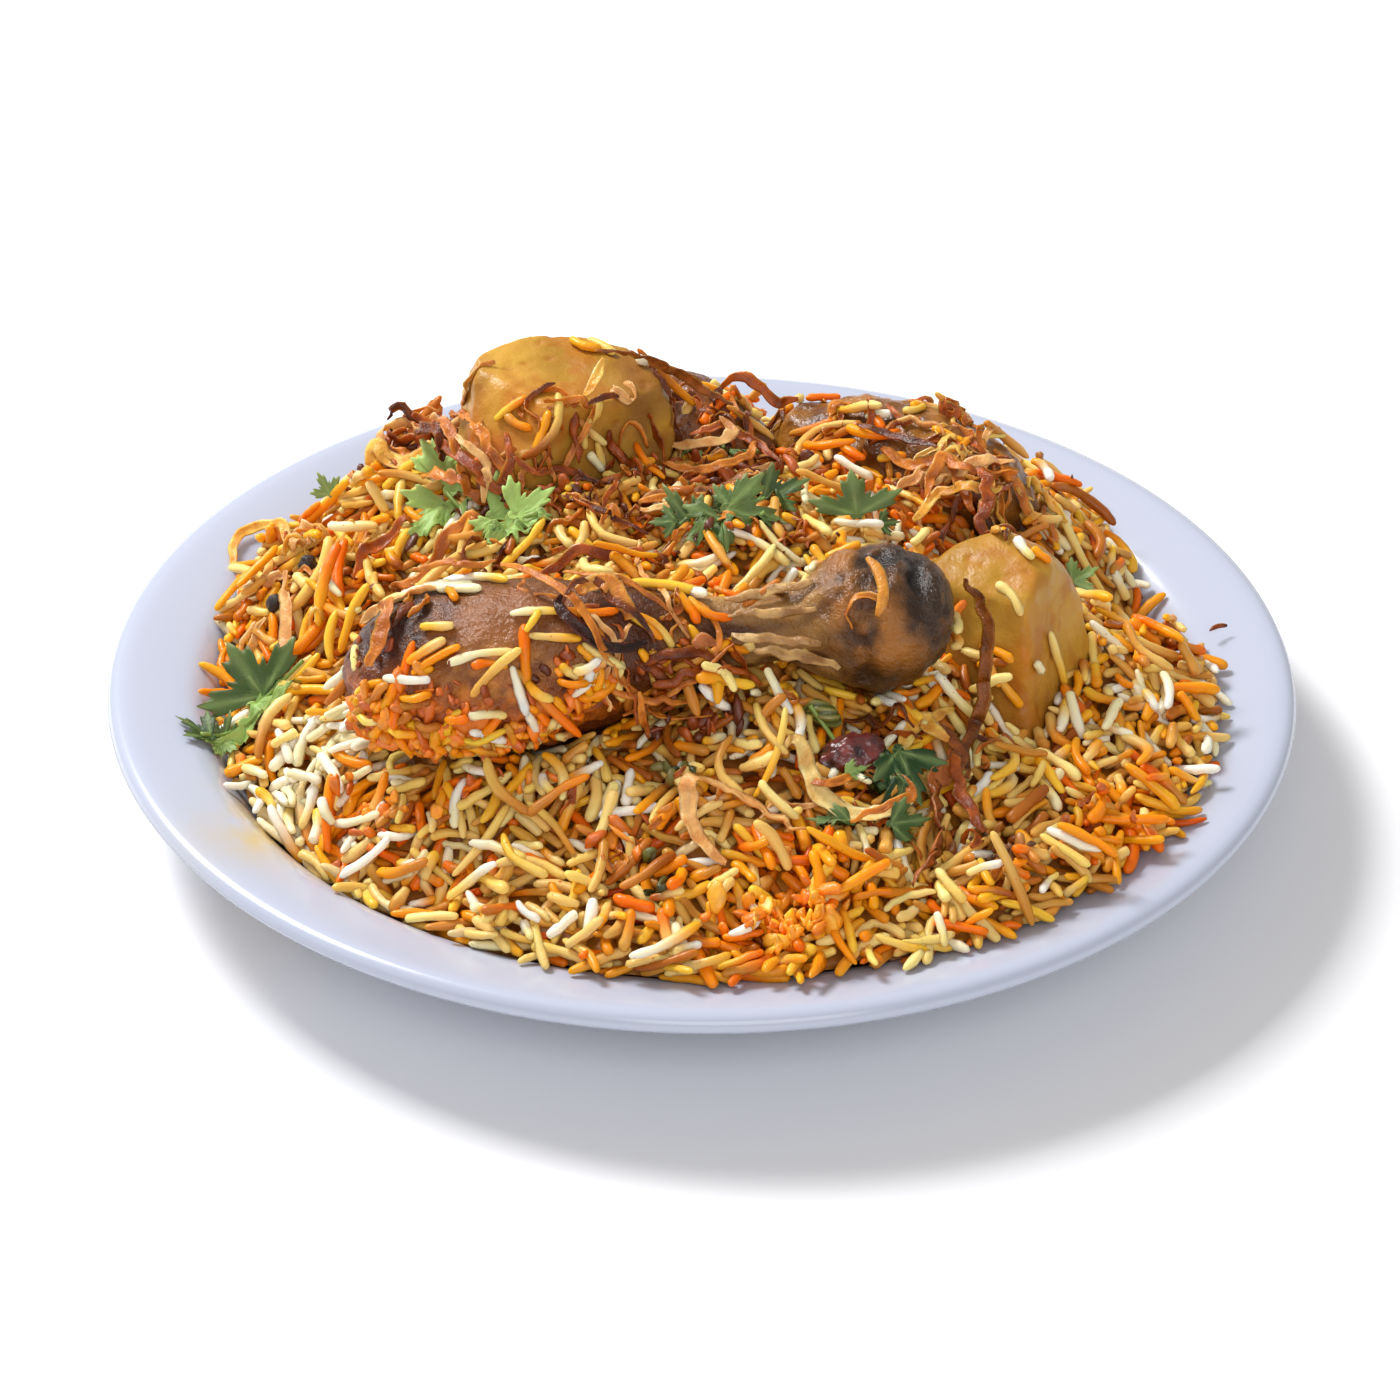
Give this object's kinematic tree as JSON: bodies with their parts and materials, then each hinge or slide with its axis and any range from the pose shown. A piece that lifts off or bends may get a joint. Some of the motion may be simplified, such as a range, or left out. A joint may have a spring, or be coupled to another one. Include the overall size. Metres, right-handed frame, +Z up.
{
  "type": "biryani",
  "caption": "Biryani on its round white plate: a mound of spiced long-grain rice with chicken and potato bedded in it, strewn with fried onion and coriander leaf.",
  "frame": {"origin": "on the table under the middle of the plate", "axes": "+Z up, away from the table; the drumstick lies along X at the front, towards -Y; the potato pieces stand at the back left and at the right"},
  "size_m": [0.26, 0.26, 0.086],
  "materials": {
    "plate_melamine": "glossy pale lavender white melamine",
    "rice": "moist cooked rice, cream to orange",
    "chicken": "glossy braised brown skin",
    "potato": "moist golden boiled potato",
    "fried_onion": "oily golden to dark brown",
    "dried_plum": "wrinkled dark purple skin",
    "cardamom": "ribbed olive green husk",
    "peppercorn": "wrinkled black"
  },
  "bodies": {
    "root": {"plate": "plate_melamine", "rice": "rice", "drumstick": "chicken", "back_leg": "chicken", "thigh": "chicken", "potato_left": "potato", "potato_right": "potato", "onion_clump_left": "fried_onion", "onion_clump_right": "fried_onion", "dried_plum": "dried_plum", "cardamom_pod": "cardamom", "peppercorn_1": "peppercorn", "peppercorn_2": "peppercorn", "onion_loop": "fried_onion", "onion_gold": "fried_onion", "onion_red": "fried_onion", "onion_dark": "fried_onion", "onion_end": "fried_onion", "onion_curl": "fried_onion", "onion_across": "fried_onion", "onion_band": "fried_onion", "onion_hanging": "fried_onion", "onion_twist": "fried_onion", "onion_arch": "fried_onion", "onion_strip": "fried_onion", "onion_tan": "fried_onion", "onion_left": "fried_onion", "onion_far_left": "fried_onion", "onion_rim_loop": "fried_onion", "onion_side": "fried_onion", "onion_back_curl": "fried_onion"}
  },
  "joints": []
}
